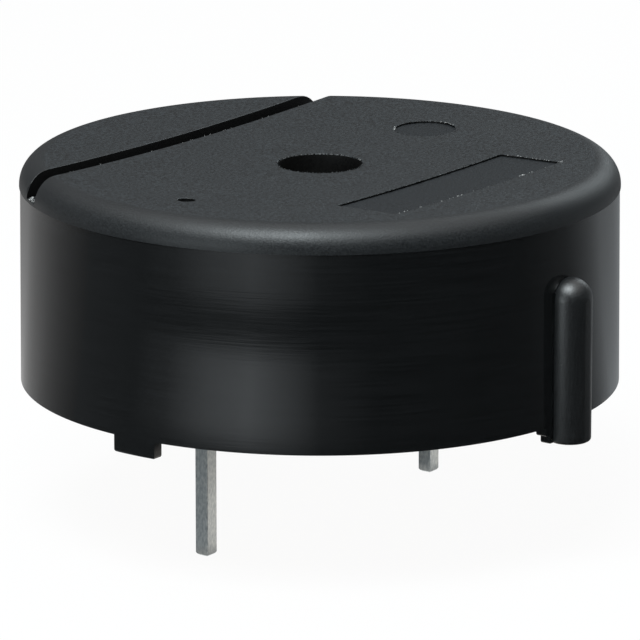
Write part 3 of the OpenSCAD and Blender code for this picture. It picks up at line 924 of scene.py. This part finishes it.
def finish_for(face):
    """The finish that this face of the case has from the mould."""
    x, y, z = (v / MM for v in face.center)
    radius = math.hypot(x, y)
    outer = outside_direction(x, y, z)
    on_turned = outer is not None and outer.dot(face.normal) > ON_TURNED
    sunk = cap_height(radius) - z
    if z > RECESS_FROM_Z and face.normal.z > LEVEL and SUNK / 4 < sunk < 2 * SUNK:
        return "case_recess"
    if z > PARTING_Z - LEDGE and (on_turned or face.normal.z > LOOKS_UP):
        return "case_cap" if radius < FLAT_R else "case_edge"
    if radius > RIB_FROM_R and z < RIB_DOME_Z + RIB_R:
        return "case_rib"
    return "case_cut" if z > CEILING_Z and not on_turned else "case_wall"


case.data.materials.clear()
for name in CASE_FINISHES:
    case.data.materials.append(FINISHES[name])
counts = dict.fromkeys(CASE_FINISHES, 0)
for face in case.data.polygons:
    name = finish_for(face)
    face.material_index = CASE_FINISHES.index(name)
    counts[name] += 1
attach(case, "root")
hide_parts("case")
print("faces", counts)

# %% [markdown]
# ## Flash
# Where the slot leaves the cap and along the recesses the mould has left crumbs of flash. A noise
# in the finish could paint pale flecks there, but it would leave the edges perfectly straight.
# Each crumb is a small dented ball pressed flat, half sunk in the case, and one mesh holds them
# all. The chance has a fixed start, so each run strews them the same way.

# %% One crumb
SEED = 11
CRUMB_CORNERS = 12
SPREAD = 0.03
DENTS = (0.55, 1.15)
STRETCHES = ((0.7, 1.6), (0.6, 1.1), (0.35, 0.7))
TILT = 0.5
chance = random.Random(SEED)


def crumb(strewn, x, y, z, size):
    """Adds one crumb of about this size in millimetres to a shape."""
    made = bmesh.ops.create_icosphere(strewn, subdivisions=1, radius=size / 2)["verts"]
    for vert in made:
        vert.co *= chance.uniform(*DENTS)
    pressed = Vector([chance.uniform(*limits) for limits in STRETCHES])
    bmesh.ops.scale(strewn, vec=pressed, verts=made)
    spin = Matrix.Rotation(chance.uniform(0, math.tau), 3, "Z")
    tilt = Matrix.Rotation(chance.uniform(-TILT, TILT), 3, "X")
    bmesh.ops.rotate(strewn, cent=(0, 0, 0), matrix=spin @ tilt, verts=made)
    bmesh.ops.translate(strewn, vec=(x, y, z), verts=made)


def crumbs_along(strewn, start, end, count, sizes, spread=SPREAD):
    """Adds crumbs along a line on the cap, between two points (x, y)."""
    for i in range(count):
        t = chance.random()
        x = start[0] + (end[0] - start[0]) * t + chance.uniform(-spread, spread)
        y = start[1] + (end[1] - start[1]) * t + chance.uniform(-spread, spread)
        crumb(strewn, x, y, cap_height(math.hypot(x, y)), chance.uniform(*sizes))


def crumb_on_circle(strewn, middle_x, radius, turn, sizes, spread=SPREAD):
    """Adds one crumb at a turn round a circle on the cap."""
    point = (middle_x + radius * math.cos(turn), radius * math.sin(turn))
    crumbs_along(strewn, point, point, 1, sizes, spread)


def strewn_piece(name, strewn, finish_name):
    """Makes one piece of all the crumbs in a shape."""
    bmesh.ops.scale(strewn, vec=(MM, MM, MM), verts=strewn.verts)
    piece = mesh_object(name, strewn)
    piece.data.shade_smooth()
    piece.data.materials.append(FINISHES[finish_name])
    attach(piece, "root")
    print(name, "holds", len(piece.data.vertices) // CRUMB_CORNERS, "crumbs")


print("a crumb has", CRUMB_CORNERS, "corners")

# %% Crumbs of flash
slot_low, slot_high = SLOT_Y - SLOT_W / 2, SLOT_Y + SLOT_W / 2
panel_left, panel_right = PANEL_X - PANEL_L / 2, PANEL_X + PANEL_L / 2
panel_low, panel_high = PANEL_Y - PANEL_W / 2, PANEL_Y + PANEL_W / 2
FINE, SMALL, MIDDLING, COARSE = (0.03, 0.06), (0.04, 0.08), (0.04, 0.11), (0.05, 0.12)
SLOT_END_CRUMBS, SLOT_END_SIZES, SLOT_END_INSET = 16, (0.06, 0.16), (0.03, 0.22)
HOLE_CRUMBS, HOLE_SIZES = 10, (0.03, 0.07)
# Clusters on the panel's near edge: (share of the edge from the left, number of crumbs).
CLUSTERS = ((0.99, 6), (0.76, 10), (0.37, 5), (0.05, 3))
CLUSTER_HALF, CLUSTER_SPREAD = 0.2, 0.05
# Clusters round the mark: (degrees from +X, spread in radians, number of crumbs).
MARK_CLUSTERS = ((-15, 0.25, 12), (125, 0.12, 5))


def cluster(along, count):
    """The line of one cluster on the panel's near edge."""
    x = panel_left + along * PANEL_L
    ends = ((x - CLUSTER_HALF, panel_low), (x + CLUSTER_HALF, panel_low))
    return (*ends, count, COARSE, CLUSTER_SPREAD)


# Each line of flash: from, to, number of crumbs, their sizes and their spread.
FLASH_LINES = (
    ((-9.2, slot_low), (8.5, slot_low), 18, FINE, 0.02),
    ((panel_left, panel_low), (panel_right, panel_low), 14, SMALL, SPREAD),
    *[cluster(along, count) for along, count in CLUSTERS],
    ((panel_right, panel_low), (panel_right, panel_high), 14, MIDDLING, SPREAD),
    ((panel_left, panel_high), (panel_right, panel_high), 8, FINE, SPREAD),
)

flash = bmesh.new()
for i in range(SLOT_END_CRUMBS):
    y = chance.uniform(slot_low - 0.1, slot_high - 0.15)
    x = -math.sqrt((CAP_R - chance.uniform(*SLOT_END_INSET)) ** 2 - y * y)
    crumb(flash, x, y, SLOT_FLOOR + chance.uniform(0, 0.1), chance.uniform(*SLOT_END_SIZES))
for line in FLASH_LINES:
    crumbs_along(flash, *line)
turns = [chance.gauss(math.radians(middle), spread)
         for middle, spread, count in MARK_CLUSTERS for i in range(count)]
for turn in turns:
    crumb_on_circle(flash, MARK_X, MARK_R, turn, COARSE)
for i in range(HOLE_CRUMBS):
    crumb_on_circle(flash, 0, HOLE_R, chance.uniform(0, math.tau), HOLE_SIZES)
strewn_piece("flash_crumbs", flash, "flash_fleck")

# %% [markdown]
# ## Burrs
# The edges of the hole and the recesses aren't quite clean on the real part: the mould left tiny
# burrs of the same black plastic. Displacing the edges would need far finer faces there. So the
# burrs are made like the crumbs and get the finish of the cap, and they only roughen the outline
# of each edge.

# %% Burrs on the edges
BURR_SPREAD, NEAR_SIZES, ROUND_SIZES = 0.02, (0.03, 0.08), (0.04, 0.1)
# On straight edges: from, to, number and sizes. On round ones: middle, radius and number.
PANEL_BURRS = (
    ((panel_left, panel_high), (panel_right, panel_high), 90, MIDDLING),
    ((panel_right, panel_low), (panel_right, panel_high), 22, MIDDLING),
    ((panel_left, panel_low), (panel_right, panel_low), 40, NEAR_SIZES),
    ((panel_left, panel_low), (panel_left, panel_high), 12, NEAR_SIZES),
)
ROUND_BURRS = ((0, HOLE_R + 0.02, 90), (MARK_X, MARK_R, 60))

burrs = bmesh.new()
for start, end, count, sizes in PANEL_BURRS:
    crumbs_along(burrs, start, end, count, sizes, BURR_SPREAD)
for middle_x, radius, count in ROUND_BURRS:
    for i in range(count):
        turn = math.tau * (i + chance.uniform(-0.4, 0.4)) / count
        crumb_on_circle(burrs, middle_x, radius, turn, ROUND_SIZES, BURR_SPREAD)
strewn_piece("edge_burrs", burrs, "case_cap")

# %% [markdown]
# ## Pins
# The pins are cut from square tinned wire, so their long edges are slightly round and the ends
# are bevelled. A cube with a bevel has edges that are all alike. Here the pin is lofted through
# rings instead, and a ring's outline may be anything from round to square, so the same function
# can make the solder as well.

# %% Two square pins
RING_POINTS = 48
PIN_SQUARE = 36
PIN_BEVEL = 0.12
PIN_ROWS = 24
LOFT_SHARP = math.radians(35)


def ring_outline(half, squareness):
    """A closed outline: 2 is a circle, and a large number a square with round corners."""
    points = []
    for i in range(RING_POINTS):
        angle = math.tau * i / RING_POINTS
        points.append([math.copysign(abs(v) ** (2 / squareness), v) * half
                       for v in (math.cos(angle), math.sin(angle))])
    return points


def lofted(name, middle_x, rings, closed):
    """A solid through rings of (half width, squareness, height), with ends or as a loop."""
    shape = bmesh.new()
    made = [[shape.verts.new((middle_x + x, y, height)) for x, y in ring_outline(half, squareness)]
            for half, squareness, height in rings]
    for lower, upper in zip(made, made[1:] + made[:1] if closed else made[1:]):
        for i in range(RING_POINTS):
            j = (i + 1) % RING_POINTS
            shape.faces.new((lower[i], lower[j], upper[j], upper[i]))
    if not closed:
        shape.faces.new(made[0])
        shape.faces.new(made[-1])
    bmesh.ops.recalc_face_normals(shape, faces=shape.faces)
    bmesh.ops.scale(shape, vec=(MM, MM, MM), verts=shape.verts)
    piece = mesh_object(name, shape)
    piece.data.shade_smooth()
    piece.data.set_sharp_from_angle(angle=LOFT_SHARP)
    return piece


def pin_rings(half, bottom, top):
    """The rings of a pin with bevelled ends, from its bottom to its top."""
    bevel = ((PIN_BEVEL, 0), (PIN_BEVEL / 3, PIN_BEVEL / 2))
    straight = top - bottom - 2 * PIN_BEVEL
    rings = [(half - inset, PIN_SQUARE, bottom + along) for inset, along in bevel]
    rings += [(half, PIN_SQUARE, bottom + PIN_BEVEL + straight * i / PIN_ROWS)
              for i in range(PIN_ROWS + 1)]
    return rings + [(half - inset, PIN_SQUARE, top - along) for inset, along in reversed(bevel)]


for node_name in ("pin_positive", "pin_negative"):
    low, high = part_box(node_name)
    middle_x, half = (low.x + high.x) / 2 / MM, (high.x - low.x) / 2 / MM
    bottom, top = low.z / MM, high.z / MM
    pin = lofted("square_" + node_name, middle_x, pin_rings(half, bottom, top), False)
    pin.data.materials.append(FINISHES["tinned_wire"])
    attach(pin, "root")
    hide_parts(node_name)
    print(node_name, "at", round(middle_x, 2), "mm, from", round(bottom, 2), "to", round(top, 2))

# %% [markdown]
# ## Solder round the pins
# Molten solder wets the copper ring and climbs the pin, so each joint is a hollow cone that is
# round on the ring and square at the pin. A plain cone has straight sides and would cut through
# the corners of the pin. The rings of the loft go from round to square as they narrow, and turn
# back down inside, where the pin goes through.

# %% Solder cones
PIN_HALF = 0.3
NECK = 0.34
SOLDER_STEPS = 10
SQUARED_BY = 1.6
solder_low, solder_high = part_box("pin_solder")
land_r = solder_high.y / MM
neck_z, land_z = solder_low.z / MM, solder_high.z / MM


def solder_ring(t):
    """A ring of the cone, from the neck at 0 to the copper ring at 1."""
    half = NECK + (land_r - NECK) * (1 - math.sqrt(max(0, 1 - t * t)))
    squareness = PIN_SQUARE + (2 - PIN_SQUARE) * min(1, SQUARED_BY * t)
    return half, squareness, neck_z + (land_z - neck_z) * t


for side in (-1, 1):
    rings = [solder_ring(i / SOLDER_STEPS) for i in range(SOLDER_STEPS + 1)]
    rings += [(PIN_HALF, PIN_SQUARE, land_z), (PIN_HALF, PIN_SQUARE, neck_z)]
    name = "solder_cone_" + ("right" if side > 0 else "left")
    cone = lofted(name, side * (solder_high.x / MM - land_r), rings, True)
    cone.data.materials.append(FINISHES["solder"])
    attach(cone, "root")
    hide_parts("pin_solder")
print("solder from", round(neck_z, 2), "to", round(land_z, 2), "mm")

# %% [markdown]
# ## The sealing bead
# The board's edge is sealed with resin that was run round by hand, so the bead is a little
# uneven. A circle swept with a curve could make it, but its outline isn't a circle: it is flat
# on the case and on the board. It is turned like the case, and then each point of its face moves
# in or out with a slow noise.

# %% Sealing bead
BEAD_STEPS = 240
BEAD_SHARP = math.radians(40)
BEAD_INSET, BEAD_LIFT = 0.03, 0.02
BEAD_WIDE, BEAD_DEEP = 0.95, 0.97
WAVES, RIPPLES = 6, 4
WAVE_PUSH, RIPPLE_PUSH = 0.006, 0.003
bead_low, bead_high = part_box("board_sealant")
BEAD_OUT = bead_high.x / MM
BOARD_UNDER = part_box("circuit_board")[0].z / MM
BOARD_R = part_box("circuit_board")[1].x / MM
bead_z = bead_low.z / MM
bead_w = BOARD_UNDER - bead_z


def bead_point(angle):
    """A point of the bead's round face, at an angle in degrees."""
    a = math.radians(angle)
    return (BEAD_OUT - BEAD_INSET - bead_w * (BEAD_WIDE - BEAD_WIDE * math.cos(a)),
            bead_z + BEAD_LIFT + bead_w * BEAD_DEEP * math.sin(a))


profile = [(BEAD_OUT, bead_z)] + [bead_point(angle) for angle in range(0, 91, 10)]
profile += [(BOARD_R, BOARD_UNDER), (BOARD_R, bead_high.z / MM), (BEAD_OUT, bead_high.z / MM)]
bead = turned("resin_bead", profile, BEAD_STEPS)
for vert in bead.data.vertices:
    radius = math.hypot(vert.co.x, vert.co.y) / MM
    if radius < BOARD_R and vert.co.z / MM < BOARD_UNDER - NEAR:
        spot = vert.co.normalized() * WAVES
        push = 1 + WAVE_PUSH * noise.noise(spot) + RIPPLE_PUSH * noise.noise(spot * RIPPLES)
        vert.co.x *= push
        vert.co.y *= push
bead.data.shade_smooth()
bead.data.set_sharp_from_angle(angle=BEAD_SHARP)
bead.data.materials.append(FINISHES["board_resin"])
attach(bead, "root")
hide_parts("board_sealant")
print("bead", round(bead_w, 2), "mm wide")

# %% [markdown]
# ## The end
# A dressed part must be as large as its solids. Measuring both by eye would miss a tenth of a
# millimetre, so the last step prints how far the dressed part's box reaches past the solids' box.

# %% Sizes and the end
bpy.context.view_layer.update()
grown = [round((b - a) / MM, 3) for a, b in zip(cad_box[1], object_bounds()[1])]
print("past the solids' box by", grown, "mm")
